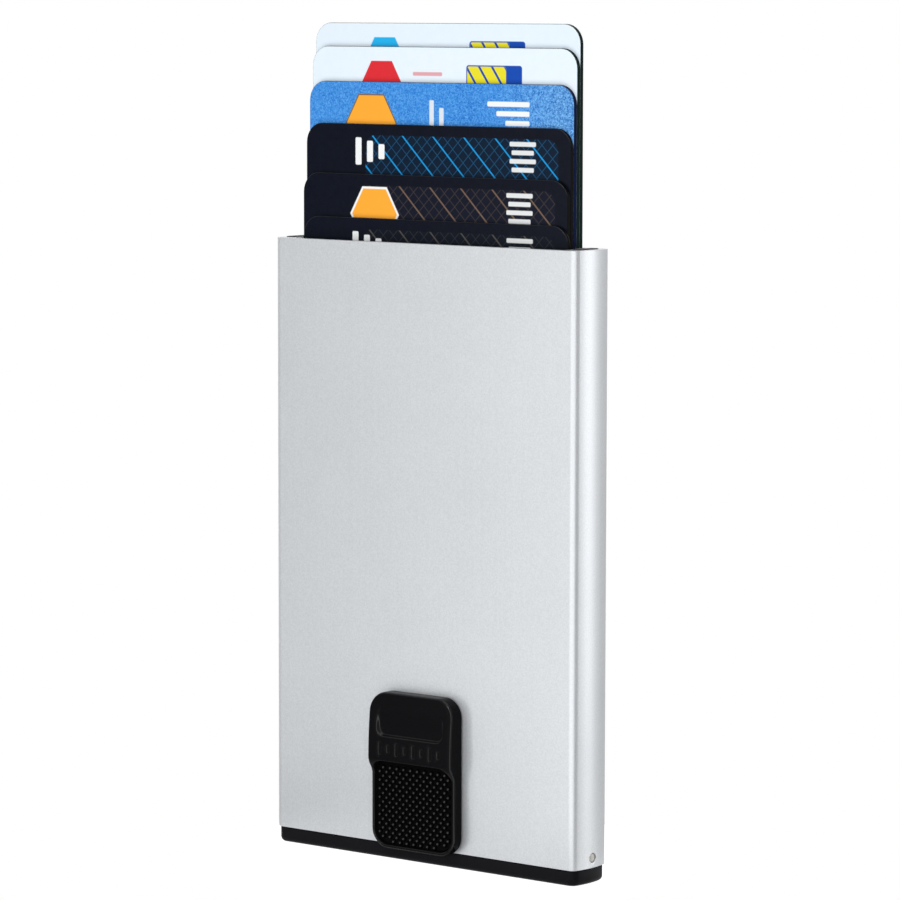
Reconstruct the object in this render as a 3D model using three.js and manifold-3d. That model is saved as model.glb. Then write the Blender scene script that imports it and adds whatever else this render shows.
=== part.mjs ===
// Sliding card case: an aluminium sleeve whose thumb slider fans six cards out of its top.
// Sizes are in millimetres. X runs across the case, -Y is its front and +Z is up.
// The origin is the middle of the cap's flat underside.

import * as THREE from 'three';
import { mergeVertices } from 'three/addons/utils/BufferGeometryUtils.js';
import Module from 'manifold-3d';

const wasm = await Module();
wasm.setup();

// Cards, from the rear one to the front one: standard plastic cards held upright.
// They stand a little left of the middle, apart from the front one.
const CARD_LENGTH = 85.6;
const CARD_WIDTH = 53.98;
const CARD_THICKNESS = 0.76;
const CARD_CORNER = 3.18;
const CARD_GAP = 0.04;
const CARD_1_STAND = 34.95;
const CARD_2_STAND = 31.15;
const CARD_3_STAND = 25.5;
const CARD_4_STAND = 18.7;
const CARD_5_STAND = 10.65;
const CARD_6_STAND = 3.6;
const CARD_SHIFT = -0.38;
const FRONT_CARD_SHIFT = 0.3;
const STOW_DEPTH = 0.7;

// Sleeve: an extrusion with flat faces, round corners and slightly crowned sides.
const FACE_WALL = 1.0;
const SIDE_WALL = 3.55;
const CORNER_RADIUS = 1.2;
const SIDE_RADIUS = 15;
const CARD_SIDE_CLEARANCE = 0.7;
const CARD_REAR_CLEARANCE = 0.64;
const CAVITY_CORNER = 0.6;

// Channel in each side wall for the strip that brakes the cards.
const CHANNEL_MOUTH = 1.6;
const CHANNEL_MOUTH_DEPTH = 0.7;
const CHANNEL_WIDTH = 5.0;
const CHANNEL_DEPTH = 2.5;
const STRIP_FIT = 0.15;
const STRIP_PROUD = 0.1;
const STRIP_ABOVE_RIM = 0.15;
const STRIP_ABOVE_LEDGE = 0.5;

// Cap: a lip that closes the lower end, and a plug with ledges, cheeks and a spring seat.
const CAP_LIP = 2.6;
const CAP_INSET = 0.18;
const CAP_EDGE = 0.8;
const CAP_CORNER = 1.8;
const CAP_SEAM = 0.05;
const CAP_FIT = 0.15;
const CAP_FLOOR = 0.6;
const LEFT_LEDGE = 1.94;
const CHEEK_HALF_WIDTH = 2.4;
const CHEEK_THICKNESS = 0.45;
const SIDE_PIN_DIAMETER = 1.4;
const SIDE_PIN_LENGTH = 4.8;
const SIDE_PIN_RECESS = 0.1;
const SIDE_PIN_FIT = 0.07;
const SIDE_PIN_END_GAP = 0.2;
const SIDE_PIN_ABOVE_EDGE = 1.6;

// Slider: a wedge-shaped tab outside, and a carriage plate with the drive pin inside.
const SLIDER_TRAVEL = 16.5;
const TAB_WIDTH = 17.1;
const TAB_HEIGHT = 25.55;
const TAB_CORNER = 3.2;
const TAB_BELOW_EDGE = 0.33;
const TAB_GAP = 0.15;
const TAB_TOP_PROUD = 2.55;
const TAB_CREST_PROUD = 3.3;
const TAB_GRIP_PROUD = 2.25;
const TAB_CREST_RISE = 14.7;
const TAB_STEP_HEIGHT = 2.6;
const NAIL_RECESS_WIDTH = 13.3;
const NAIL_RECESS_HEIGHT = 4.7;
const NAIL_RECESS_RISE = 18.53;
const NAIL_RECESS_DEPTH = 0.6;
const NAIL_RECESS_CORNER = 1.2;
const GRIP_RIM = 0.55;
const GRIP_UPPER_CORNER = 2.2;
const GRIP_LOWER_CORNER = 2.6;
const GRIP_HEIGHT = 13.8;
const GRIP_POCKET_DEPTH = 1.1;
const GRIP_SINK = 0.55;
const GRIP_FIT = 0.15;
const SLOT_WIDTH = 6.0;
const SLOT_CORNER = 1.0;
const STEM_SIDE_GAP = 0.2;
const STEM_HEIGHT = 6.6;
const STEM_PLUG = 0.2;
const STEM_FIT = 0.15;
const PLATE_WIDTH = 11.0;
const PLATE_THICKNESS = 0.5;
const PLATE_CORNER = 1.5;
const PLATE_FLOOR_GAP = 0.3;
const PLATE_ABOVE_PIN = 2.8;
const DRIVE_PIN_RADIUS = 0.9;
const SCREW_HEAD_RADIUS = 1.1;
const SCREW_SHANK_RADIUS = 0.55;
const SCREW_HEAD_HEIGHT = 0.45;
const SCREW_HEAD_RIM = 0.1;
const SCREW_LENGTH = 2.1;
const SCREW_FIT = 0.12;
const SCREW_MARGIN = 1.5;

// Fan lever: stepped leaves and a cam arm, keyed on one square hub.
const PIVOT_X = 18.0;
const PIVOT_RISE = 8.8;
const PIVOT_PIN_RADIUS = 0.6;
const PIVOT_FIT = 0.15;
const LEVER_SWEEP = 56 * Math.PI / 180;
const HUB_SQUARE = 2.4;
const KEY_FIT = 0.1;
const LEAF_HALF_HEIGHT = 2.2;
const LEAF_TIP_RADIUS = 1.2;
const LEAF_THICKNESS = 0.6;
const LEAF_CARD_GAP = 0.3;
const LEAF_END_GAP = 0.4;
const CARD_DRAWN_FREE = 1.6;
const ARM_THICKNESS = 0.5;
const ARM_RIM = 1.2;
const ARM_CARD_GAP = 0.2;
const CAM_SLOT_FIT = 0.25;
const DRIVE_PIN_RISE = 1.0;
const LAYER_GAP = 0.1;
const LEDGE_HUB_GAP = 0.4;
const TAIL_LENGTH = 5.6;
const TAIL_RADIUS = 1.1;
const TAIL_LEAVES = [2, 3];

// Return spring, pressed between the lever's tails and the seat on the cap's floor.
const SPRING_DIAMETER = 4.0;
const SPRING_WIRE = 0.5;
const SPRING_TURNS = 8;
const SPRING_BELOW_PIVOT = 5.0;
const SPRING_LENGTH = 14.7;
const SPRING_END_GAP = 0.3;
const SPRING_SEAT_THICKNESS = 2.0;
const SPRING_SEAT_MARGIN = 0.2;
const SPRING_PEG_RADIUS = 1.0;
const SPRING_PEG_LENGTH = 2.4;

// Counts of straight pieces that stand for curves.
const ARC_STEPS = 4;
const SLEEVE_STEPS = 9;
const ROUND_STEPS = 20;
const CAM_STEPS = 14;
const SPRING_STEPS_PER_TURN = 16;
const SPRING_SIDES = 6;

// How far each card stands above the rim, from the rear.
const CARD_STANDS = [CARD_1_STAND, CARD_2_STAND, CARD_3_STAND, CARD_4_STAND, CARD_5_STAND, CARD_6_STAND];

// Layers through the case, from the front wall to the rear wall.
const CARD_COUNT = CARD_STANDS.length;
const CARD_PITCH = CARD_THICKNESS + CARD_GAP;
const STACK_DEPTH = CARD_COUNT * CARD_PITCH - CARD_GAP;
const FRONT_LAYERS = LAYER_GAP + PLATE_THICKNESS + LAYER_GAP + ARM_THICKNESS + ARM_CARD_GAP;
const CAVITY_DEPTH = FRONT_LAYERS + STACK_DEPTH + CARD_REAR_CLEARANCE;
const CAVITY_WIDTH = CARD_WIDTH + 2 * CARD_SIDE_CLEARANCE;
const CASE_DEPTH = CAVITY_DEPTH + 2 * FACE_WALL;
const CASE_WIDTH = CAVITY_WIDTH + 2 * SIDE_WALL;
const FRONT_Y = -CASE_DEPTH / 2;
const CAVITY_FRONT_Y = -CAVITY_DEPTH / 2;
const CAVITY_REAR_Y = CAVITY_DEPTH / 2;
const PLATE_FRONT_Y = CAVITY_FRONT_Y + LAYER_GAP;
const PLATE_REAR_Y = PLATE_FRONT_Y + PLATE_THICKNESS;
const ARM_FRONT_Y = PLATE_REAR_Y + LAYER_GAP;
const ARM_REAR_Y = ARM_FRONT_Y + ARM_THICKNESS;
const STACK_FRONT_Y = ARM_REAR_Y + ARM_CARD_GAP;

// Heights.
const CAP_FLOOR_Z = CAP_LIP + CAP_FLOOR;
const PIVOT_Z = CAP_LIP + PIVOT_RISE;
const LEAF_TOP_Z = PIVOT_Z + LEAF_HALF_HEIGHT;
const STOWED_Z = LEAF_TOP_Z + LEAF_CARD_GAP;
const RIM_Z = STOWED_Z + CARD_LENGTH + STOW_DEPTH;
const LEDGE_Z = STOWED_Z - LEAF_CARD_GAP;
const DRIVE_PIN_Z = PIVOT_Z + DRIVE_PIN_RISE;
const PLATE_LOW_Z = CAP_FLOOR_Z + PLATE_FLOOR_GAP;
const STEM_TOP_Z = PLATE_LOW_Z + STEM_HEIGHT;
const SLOT_TOP_Z = STEM_TOP_Z + SLIDER_TRAVEL + STEM_SIDE_GAP;
const TAB_LOW_Z = CAP_LIP - TAB_BELOW_EDGE;
const SPRING_Z = PIVOT_Z - SPRING_BELOW_PIVOT;
const SIDE_PIN_Z = CAP_LIP + SIDE_PIN_ABOVE_EDGE;

// A piece of geometry as a solid that can be joined and cut.
function asSolid(geometry) {
  const bare = geometry.clone();
  bare.deleteAttribute('normal');
  bare.deleteAttribute('uv');
  const merged = mergeVertices(bare, 1e-5);
  return new wasm.Manifold(new wasm.Mesh({
    numProp: 3,
    vertProperties: new Float32Array(merged.attributes.position.array),
    triVerts: new Uint32Array(merged.index.array),
  }));
}

function asGeometry(solid) {
  const mesh = solid.getMesh();
  const geometry = new THREE.BufferGeometry();
  geometry.setAttribute('position', new THREE.BufferAttribute(mesh.vertProperties, 3));
  geometry.setIndex(new THREE.BufferAttribute(mesh.triVerts, 1));
  geometry.computeVertexNormals();
  return geometry;
}

function join(first, ...others) {
  return asGeometry(others.reduce((solid, other) => solid.add(asSolid(other)), asSolid(first)));
}

function cut(first, ...others) {
  return asGeometry(others.reduce((solid, other) => solid.subtract(asSolid(other)), asSolid(first)));
}

function common(first, second) {
  return asGeometry(asSolid(first).intersect(asSolid(second)));
}

// Extrusions of a flat shape along each axis, between two places on that axis.
function alongZ(shape, low, high, steps = ARC_STEPS) {
  const geometry = new THREE.ExtrudeGeometry(shape, {
    depth: high - low, bevelEnabled: false, curveSegments: steps,
  });
  return geometry.translate(0, 0, low);
}

function alongY(shape, low, high) {
  const turn = new THREE.Matrix4().makeBasis(
    new THREE.Vector3(1, 0, 0), new THREE.Vector3(0, 0, 1), new THREE.Vector3(0, -1, 0));
  return alongZ(shape, -high, -low).applyMatrix4(turn);
}

function alongX(shape, low, high) {
  const turn = new THREE.Matrix4().makeBasis(
    new THREE.Vector3(0, 1, 0), new THREE.Vector3(0, 0, 1), new THREE.Vector3(1, 0, 0));
  return alongZ(shape, low, high).applyMatrix4(turn);
}

function block(xLow, xHigh, yLow, yHigh, zLow, zHigh) {
  const box = new THREE.BoxGeometry(xHigh - xLow, yHigh - yLow, zHigh - zLow);
  return box.translate((xLow + xHigh) / 2, (yLow + yHigh) / 2, (zLow + zHigh) / 2);
}

// Flat shapes.
function roundedRectangle(left, right, low, high, lowRadius, highRadius = lowRadius) {
  const shape = new THREE.Shape();
  shape.moveTo(left + lowRadius, low);
  shape.lineTo(right - lowRadius, low);
  shape.absarc(right - lowRadius, low + lowRadius, lowRadius, -Math.PI / 2, 0);
  shape.lineTo(right, high - highRadius);
  shape.absarc(right - highRadius, high - highRadius, highRadius, 0, Math.PI / 2);
  shape.lineTo(left + highRadius, high);
  shape.absarc(left + highRadius, high - highRadius, highRadius, Math.PI / 2, Math.PI);
  shape.lineTo(left, low + lowRadius);
  shape.absarc(left + lowRadius, low + lowRadius, lowRadius, Math.PI, Math.PI * 1.5);
  return shape;
}

function polygon(points) {
  return new THREE.Shape(points.map(([x, y]) => new THREE.Vector2(x, y)));
}

function disc(x, y, radius) {
  const points = [];
  for (let step = 0; step < ROUND_STEPS; step += 1) {
    const angle = 2 * Math.PI * step / ROUND_STEPS;
    points.push([x + radius * Math.cos(angle), y + radius * Math.sin(angle)]);
  }
  return polygon(points);
}

// A bar with round ends along a line or a curve of points, as wide as twice its half width.
function ribbon(points, half) {
  const heading = (index) => {
    const before = points[Math.max(index - 1, 0)];
    const after = points[Math.min(index + 1, points.length - 1)];
    return Math.atan2(after[1] - before[1], after[0] - before[0]);
  };
  const side = (index, turn) => {
    const angle = heading(index) + turn;
    return [points[index][0] + half * Math.cos(angle), points[index][1] + half * Math.sin(angle)];
  };
  const outline = [];
  const last = points.length - 1;
  for (let index = 0; index <= last; index += 1) {
    outline.push(side(index, -Math.PI / 2));
  }
  for (let step = 1; step < ARC_STEPS * 2; step += 1) {
    outline.push(side(last, -Math.PI / 2 + Math.PI * step / (ARC_STEPS * 2)));
  }
  for (let index = last; index >= 0; index -= 1) {
    outline.push(side(index, Math.PI / 2));
  }
  for (let step = 1; step < ARC_STEPS * 2; step += 1) {
    outline.push(side(0, Math.PI / 2 + Math.PI * step / (ARC_STEPS * 2)));
  }
  return polygon(outline);
}

// Outline of the sleeve or its cap, drawn in from the skin by an inset. Corners run smoothly into the sides.
function caseOutline(cornerRadius, inset) {
  const cornerY = CASE_DEPTH / 2 - cornerRadius;
  const sideX = CASE_WIDTH / 2 - SIDE_RADIUS;
  const reach = SIDE_RADIUS - cornerRadius;
  const cornerX = sideX + Math.sqrt(reach * reach - cornerY * cornerY);
  const turn = Math.asin(cornerY / reach);
  const corner = cornerRadius - inset;
  const side = SIDE_RADIUS - inset;
  const shape = new THREE.Shape();
  shape.moveTo(-cornerX, -cornerY - corner);
  shape.lineTo(cornerX, -cornerY - corner);
  shape.absarc(cornerX, -cornerY, corner, -Math.PI / 2, -turn);
  shape.absarc(sideX, 0, side, -turn, turn);
  shape.absarc(cornerX, cornerY, corner, turn, Math.PI / 2);
  shape.lineTo(-cornerX, cornerY + corner);
  shape.absarc(-cornerX, cornerY, corner, Math.PI / 2, Math.PI - turn);
  shape.absarc(-sideX, 0, side, Math.PI - turn, Math.PI + turn);
  shape.absarc(-cornerX, -cornerY, corner, Math.PI + turn, Math.PI * 1.5);
  return shape;
}

// Half outline of a side channel or its strip, as distances out from the cavity's wall.
function channelSteps(fit) {
  const mouth = CHANNEL_MOUTH / 2 - fit;
  const width = CHANNEL_WIDTH / 2 - fit;
  const shoulder = CHANNEL_MOUTH_DEPTH + fit;
  const depth = CHANNEL_DEPTH - fit;
  return [[shoulder, mouth], [shoulder, width], [depth, width]];
}

function cavityOutline() {
  const wall = CAVITY_WIDTH / 2;
  const shape = roundedRectangle(-wall, wall, CAVITY_FRONT_Y, CAVITY_REAR_Y, CAVITY_CORNER);
  const steps = channelSteps(0);
  const side = (sign) => {
    const rising = steps.map(([out, half]) => [sign * (wall + out), -half]);
    const falling = steps.map(([out, half]) => [sign * (wall + out), half]).reverse();
    const mouth = CHANNEL_MOUTH / 2;
    const inner = sign * (wall - CAVITY_CORNER);
    const points = [[inner, -mouth], ...rising, ...falling, [inner, mouth]];
    return polygon(sign > 0 ? points : points.reverse());
  };
  return { shape, channels: [side(1), side(-1)] };
}

function sidePinHole(sign, radius) {
  const outer = CASE_WIDTH / 2 + SIDE_PIN_RECESS;
  const inner = outer - 2 * SIDE_PIN_RECESS - SIDE_PIN_LENGTH - SIDE_PIN_END_GAP;
  const [low, high] = sign > 0 ? [inner, outer] : [-outer, -inner];
  return alongX(disc(0, SIDE_PIN_Z, radius), low, high);
}

function caseBody() {
  const cavity = cavityOutline();
  const past = CAP_LIP;
  const hollows = [cavity.shape, ...cavity.channels].map(
    (shape) => alongZ(shape, CAP_LIP - past, RIM_Z + past));
  const slot = roundedRectangle(
    -SLOT_WIDTH / 2, SLOT_WIDTH / 2, CAP_LIP - past, SLOT_TOP_Z, SLOT_CORNER);
  const holeRadius = SIDE_PIN_DIAMETER / 2 + SIDE_PIN_FIT;
  return cut(
    alongZ(caseOutline(CORNER_RADIUS, 0), CAP_LIP, RIM_Z, SLEEVE_STEPS),
    ...hollows,
    alongY(slot, FRONT_Y - FACE_WALL, CAVITY_FRONT_Y + LAYER_GAP),
    sidePinHole(1, holeRadius),
    sidePinHole(-1, holeRadius),
  );
}

// Lip of the cap: its lower edge is rounded all the way round.
function capLip() {
  const outline = caseOutline(CAP_CORNER, CAP_INSET + CAP_EDGE);
  const rounded = new THREE.ExtrudeGeometry(outline, {
    depth: CAP_LIP,
    bevelEnabled: true,
    bevelThickness: CAP_EDGE,
    bevelSize: CAP_EDGE,
    bevelSegments: 4,
    curveSegments: ARC_STEPS,
  });
  rounded.translate(0, 0, CAP_EDGE);
  const above = block(
    -CASE_WIDTH, CASE_WIDTH, -CASE_DEPTH, CASE_DEPTH, CAP_LIP - CAP_SEAM, 3 * CAP_LIP);
  return cut(rounded, above);
}

// Cheek that holds one end of the pivot pin, tied back to the right-hand ledge.
function pivotCheek(low, high, ledgeX) {
  const post = ribbon([[PIVOT_X, CAP_LIP], [PIVOT_X, PIVOT_Z]], CHEEK_HALF_WIDTH);
  const web = block(PIVOT_X, ledgeX + CAP_FIT, low, high, CAP_LIP, PIVOT_Z);
  const floor = block(
    PIVOT_X - 2 * CHEEK_HALF_WIDTH, ledgeX, low, high, -CAP_LIP, CAP_LIP - CAP_SEAM);
  return cut(join(alongY(post, low, high), web), floor);
}

function springSeat() {
  const centreY = springCentreY();
  const half = SPRING_DIAMETER / 2 + SPRING_SEAT_MARGIN;
  const faceX = springStartX() - SPRING_END_GAP;
  const top = SPRING_Z + half;
  const wall = block(
    faceX - SPRING_SEAT_THICKNESS, faceX, centreY - half, centreY + half, CAP_LIP, top);
  const peg = alongX(
    disc(centreY, SPRING_Z, SPRING_PEG_RADIUS), faceX - SPRING_SEAT_MARGIN, faceX + SPRING_PEG_LENGTH);
  return join(wall, peg);
}

// Room beside a leaf's tip, so that a longer leaf or a narrower case notches the ledge.
function leafRoom(index) {
  const tip = PIVOT_X - leafReach(index) - LEAF_TIP_RADIUS;
  const half = LEAF_THICKNESS / 2 + LAYER_GAP;
  const low = PIVOT_Z - LEAF_HALF_HEIGHT;
  return block(
    tip - LEAF_END_GAP, PIVOT_X, layerY(index) - half, layerY(index) + half, low, LEDGE_Z + LEAF_CARD_GAP);
}

function bottomCap() {
  const half = CAVITY_WIDTH / 2 - CAP_FIT;
  const front = CAVITY_FRONT_Y + CAP_FIT;
  const rear = CAVITY_REAR_Y - CAP_FIT;
  const root = CAP_LIP - CAP_EDGE;
  const rightLedgeX = PIVOT_X + LEAF_HALF_HEIGHT + LEDGE_HUB_GAP;
  const plan = roundedRectangle(-half, half, front, rear, CAVITY_CORNER);
  const ledges = common(
    alongZ(plan, root, LEDGE_Z),
    join(
      block(-CASE_WIDTH, -half + LEFT_LEDGE, -CASE_DEPTH, CASE_DEPTH, root, LEDGE_Z),
      block(rightLedgeX, CASE_WIDTH, -CASE_DEPTH, CASE_DEPTH, root, LEDGE_Z)),
  );
  const leafRooms = CARD_STANDS.map((stand, index) => leafRoom(index));
  const pinRadius = PIVOT_PIN_RADIUS + PIVOT_FIT;
  const holeRadius = SIDE_PIN_DIAMETER / 2 + SIDE_PIN_FIT;
  return cut(
    join(
      capLip(),
      alongZ(plan, root, CAP_FLOOR_Z),
      cut(ledges, ...leafRooms),
      pivotCheek(front, front + CHEEK_THICKNESS, rightLedgeX),
      pivotCheek(rear - CHEEK_THICKNESS, rear, rightLedgeX),
      springSeat()),
    alongY(disc(PIVOT_X, PIVOT_Z, pinRadius), -CASE_DEPTH, CASE_DEPTH),
    sidePinHole(1, holeRadius),
    sidePinHole(-1, holeRadius),
  );
}

// Dowel through the sleeve into the cap, its end just below the sleeve's skin.
function sidePin(sign) {
  const skin = CASE_WIDTH / 2 - SIDE_PIN_RECESS;
  const [low, high] = sign > 0 ? [skin - SIDE_PIN_LENGTH, skin] : [-skin, SIDE_PIN_LENGTH - skin];
  return alongX(disc(0, SIDE_PIN_Z, SIDE_PIN_DIAMETER / 2), low, high);
}

function brakeStrip(sign) {
  const wall = CAVITY_WIDTH / 2;
  const steps = [[-STRIP_PROUD, CHANNEL_MOUTH / 2 - STRIP_FIT], ...channelSteps(STRIP_FIT)];
  const low = steps.map(([out, half]) => [sign * (wall + out), -half]);
  const high = steps.map(([out, half]) => [sign * (wall + out), half]).reverse();
  return alongZ(polygon([...low, ...high]), LEDGE_Z + STRIP_ABOVE_LEDGE, RIM_Z + STRIP_ABOVE_RIM);
}

// Side view of the tab: a wedge that swells to a crest, then steps down to the grip.
function tabProfile() {
  const back = FRONT_Y - TAB_GAP;
  const top = TAB_LOW_Z + TAB_HEIGHT;
  const crestZ = TAB_LOW_Z + TAB_CREST_RISE;
  const grip = FRONT_Y - TAB_GRIP_PROUD;
  const shape = new THREE.Shape();
  shape.moveTo(back, TAB_LOW_Z);
  shape.lineTo(back, top);
  shape.lineTo(FRONT_Y - TAB_TOP_PROUD, top);
  shape.quadraticCurveTo(
    FRONT_Y - TAB_CREST_PROUD, (top + crestZ) / 2, FRONT_Y - TAB_CREST_PROUD, crestZ);
  shape.bezierCurveTo(
    FRONT_Y - TAB_CREST_PROUD, crestZ - TAB_STEP_HEIGHT / 2,
    grip, crestZ - TAB_STEP_HEIGHT / 2,
    grip, crestZ - TAB_STEP_HEIGHT);
  shape.lineTo(grip, TAB_LOW_Z);
  return shape;
}

// Scoop for a thumbnail: deepest at its lower edge, running out at its upper one.
function nailRecess() {
  const low = TAB_LOW_Z + NAIL_RECESS_RISE;
  const high = low + NAIL_RECESS_HEIGHT;
  const face = FRONT_Y - TAB_CREST_PROUD;
  const outline = roundedRectangle(
    -NAIL_RECESS_WIDTH / 2, NAIL_RECESS_WIDTH / 2, low, high, NAIL_RECESS_CORNER);
  const slope = polygon([
    [face + NAIL_RECESS_DEPTH, low],
    [FRONT_Y - TAB_TOP_PROUD, TAB_LOW_Z + TAB_HEIGHT],
    [face - TAB_CREST_PROUD, TAB_LOW_Z + TAB_HEIGHT],
    [face - TAB_CREST_PROUD, low]]);
  return common(
    alongY(outline, face - TAB_CREST_PROUD, FRONT_Y),
    alongX(slope, -TAB_WIDTH, TAB_WIDTH));
}

function gripOutline(fit) {
  const half = TAB_WIDTH / 2 - GRIP_RIM - fit;
  const low = TAB_LOW_Z + GRIP_RIM + fit;
  const high = TAB_LOW_Z + GRIP_RIM + GRIP_HEIGHT - fit;
  return roundedRectangle(-half, half, low, high, GRIP_LOWER_CORNER - fit, GRIP_UPPER_CORNER - fit);
}

function gripFloorY() {
  return FRONT_Y - TAB_GRIP_PROUD + GRIP_POCKET_DEPTH;
}

function stemOutline(fit) {
  const half = SLOT_WIDTH / 2 - STEM_SIDE_GAP + fit;
  return roundedRectangle(-half, half, PLATE_LOW_Z - fit, STEM_TOP_Z + fit, SLOT_CORNER);
}

// Countersunk screw. Its hole is the same shape grown by a fit, and open ahead of the head.
function screwSolid(z, fit, ahead) {
  const head = SCREW_HEAD_RADIUS + fit;
  const shank = SCREW_SHANK_RADIUS + fit;
  const points = [
    [0, -ahead],
    [head, -ahead],
    [head, SCREW_HEAD_RIM + fit],
    [shank, SCREW_HEAD_HEIGHT + fit],
    [shank, SCREW_LENGTH + fit],
    [0, SCREW_LENGTH + fit]];
  const turned = new THREE.LatheGeometry(points.map(([x, y]) => new THREE.Vector2(x, y)), ROUND_STEPS);
  return turned.translate(0, gripFloorY() + GRIP_FIT, z);
}

function screwHole(z) {
  return screwSolid(z, SCREW_FIT, GRIP_POCKET_DEPTH);
}

function screwHeights() {
  return [PLATE_LOW_Z + SCREW_MARGIN, STEM_TOP_Z - SCREW_MARGIN];
}

function sliderTab() {
  const outline = roundedRectangle(
    -TAB_WIDTH / 2, TAB_WIDTH / 2, TAB_LOW_Z, TAB_LOW_Z + TAB_HEIGHT, TAB_CORNER);
  const back = FRONT_Y - TAB_GAP;
  const past = 2 * TAB_CREST_PROUD;
  const wedge = common(
    alongY(outline, FRONT_Y - past, FRONT_Y),
    alongX(tabProfile(), -TAB_WIDTH, TAB_WIDTH));
  return cut(
    wedge,
    nailRecess(),
    alongY(gripOutline(0), FRONT_Y - past, gripFloorY()),
    alongY(stemOutline(STEM_FIT), back - STEM_PLUG - STEM_FIT, FRONT_Y + past),
    ...screwHeights().map(screwHole),
  );
}

function gripInsert() {
  const face = FRONT_Y - TAB_GRIP_PROUD + GRIP_SINK;
  return alongY(gripOutline(GRIP_FIT), face, gripFloorY() - GRIP_FIT);
}

function sliderCarriage() {
  const plate = roundedRectangle(
    -PLATE_WIDTH / 2, PLATE_WIDTH / 2, PLATE_LOW_Z, DRIVE_PIN_Z + PLATE_ABOVE_PIN, PLATE_CORNER);
  const stemFront = FRONT_Y - TAB_GAP - STEM_PLUG;
  const pin = disc(0, DRIVE_PIN_Z, DRIVE_PIN_RADIUS);
  return cut(
    join(
      alongY(plate, PLATE_FRONT_Y, PLATE_REAR_Y),
      alongY(stemOutline(0), stemFront, PLATE_REAR_Y - LAYER_GAP),
      alongY(pin, PLATE_REAR_Y - LAYER_GAP, ARM_REAR_Y)),
    ...screwHeights().map(screwHole),
  );
}

// Middle of a card's own layer, counted from the rear card.
function layerY(index) {
  return STACK_FRONT_Y + (CARD_COUNT - 1 - index) * CARD_PITCH + CARD_THICKNESS / 2;
}

// Height that the lever lifts a card by, and the leaf's reach that gives it.
function leverLift(index) {
  return CARD_STANDS[index] + STOW_DEPTH - CARD_DRAWN_FREE;
}

function leafReach(index) {
  const dip = (LEAF_HALF_HEIGHT - LEAF_TIP_RADIUS) * (1 - Math.cos(LEVER_SWEEP));
  return (leverLift(index) + dip) / Math.sin(LEVER_SWEEP);
}

function keyHole(low, high) {
  const half = HUB_SQUARE / 2 + KEY_FIT;
  return block(PIVOT_X - half, PIVOT_X + half, low, high, PIVOT_Z - half, PIVOT_Z + half);
}

// One leaf: a flat top edge under its card, tapering below to a round tip.
function leverLeaf(index) {
  const tipX = PIVOT_X - leafReach(index);
  const tipZ = PIVOT_Z + LEAF_HALF_HEIGHT - LEAF_TIP_RADIUS;
  const lean = Math.asin((LEAF_HALF_HEIGHT - LEAF_TIP_RADIUS) / Math.hypot(tipX - PIVOT_X, tipZ - PIVOT_Z));
  const fall = Math.atan2(tipZ - PIVOT_Z, PIVOT_X - tipX);
  const below = -Math.PI / 2 - lean - fall;
  const shape = new THREE.Shape();
  shape.absarc(PIVOT_X, PIVOT_Z, LEAF_HALF_HEIGHT, below, Math.PI / 2);
  shape.absarc(tipX, tipZ, LEAF_TIP_RADIUS, Math.PI / 2, 2 * Math.PI + below);
  const low = layerY(index) - LEAF_THICKNESS / 2;
  const high = low + LEAF_THICKNESS;
  const leaf = alongY(shape, low, high);
  if (!TAIL_LEAVES.includes(index)) {
    return cut(leaf, keyHole(-CASE_DEPTH, CASE_DEPTH));
  }
  const tail = ribbon([[PIVOT_X, PIVOT_Z], [PIVOT_X, PIVOT_Z - TAIL_LENGTH]], TAIL_RADIUS);
  return cut(join(leaf, alongY(tail, low, high)), keyHole(-CASE_DEPTH, CASE_DEPTH));
}

// Route of the drive pin as the lever sees it, which makes the lever's angle follow the slider evenly.
function camRoute() {
  const route = [];
  for (let step = 0; step <= CAM_STEPS; step += 1) {
    const angle = LEVER_SWEEP * step / CAM_STEPS;
    const rise = DRIVE_PIN_RISE + SLIDER_TRAVEL * step / CAM_STEPS;
    route.push([
      PIVOT_X - PIVOT_X * Math.cos(angle) - rise * Math.sin(angle),
      PIVOT_Z - PIVOT_X * Math.sin(angle) + rise * Math.cos(angle)]);
  }
  return route;
}

function driveArm() {
  const route = camRoute();
  const slotHalf = DRIVE_PIN_RADIUS + CAM_SLOT_FIT;
  const bar = ribbon([[PIVOT_X, PIVOT_Z], route[0]], LEAF_HALF_HEIGHT);
  return cut(
    join(
      alongY(bar, ARM_FRONT_Y, ARM_REAR_Y),
      alongY(ribbon(route, slotHalf + ARM_RIM), ARM_FRONT_Y, ARM_REAR_Y)),
    alongY(ribbon(route, slotHalf), ARM_FRONT_Y - ARM_THICKNESS, ARM_REAR_Y + ARM_THICKNESS),
    keyHole(-CASE_DEPTH, CASE_DEPTH),
  );
}

function leverHub() {
  const half = HUB_SQUARE / 2;
  const rear = layerY(0) + LEAF_THICKNESS / 2;
  return cut(
    block(PIVOT_X - half, PIVOT_X + half, ARM_FRONT_Y, rear, PIVOT_Z - half, PIVOT_Z + half),
    alongY(disc(PIVOT_X, PIVOT_Z, PIVOT_PIN_RADIUS + PIVOT_FIT), -CASE_DEPTH, CASE_DEPTH),
  );
}

function pivotPin() {
  const half = CAVITY_DEPTH / 2 - CAP_FIT;
  return alongY(disc(PIVOT_X, PIVOT_Z, PIVOT_PIN_RADIUS), -half, half);
}

function springCentreY() {
  return TAIL_LEAVES.reduce((sum, index) => sum + layerY(index), 0) / TAIL_LEAVES.length;
}

function springStartX() {
  return PIVOT_X - TAIL_RADIUS - SPRING_END_GAP - SPRING_LENGTH;
}

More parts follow.
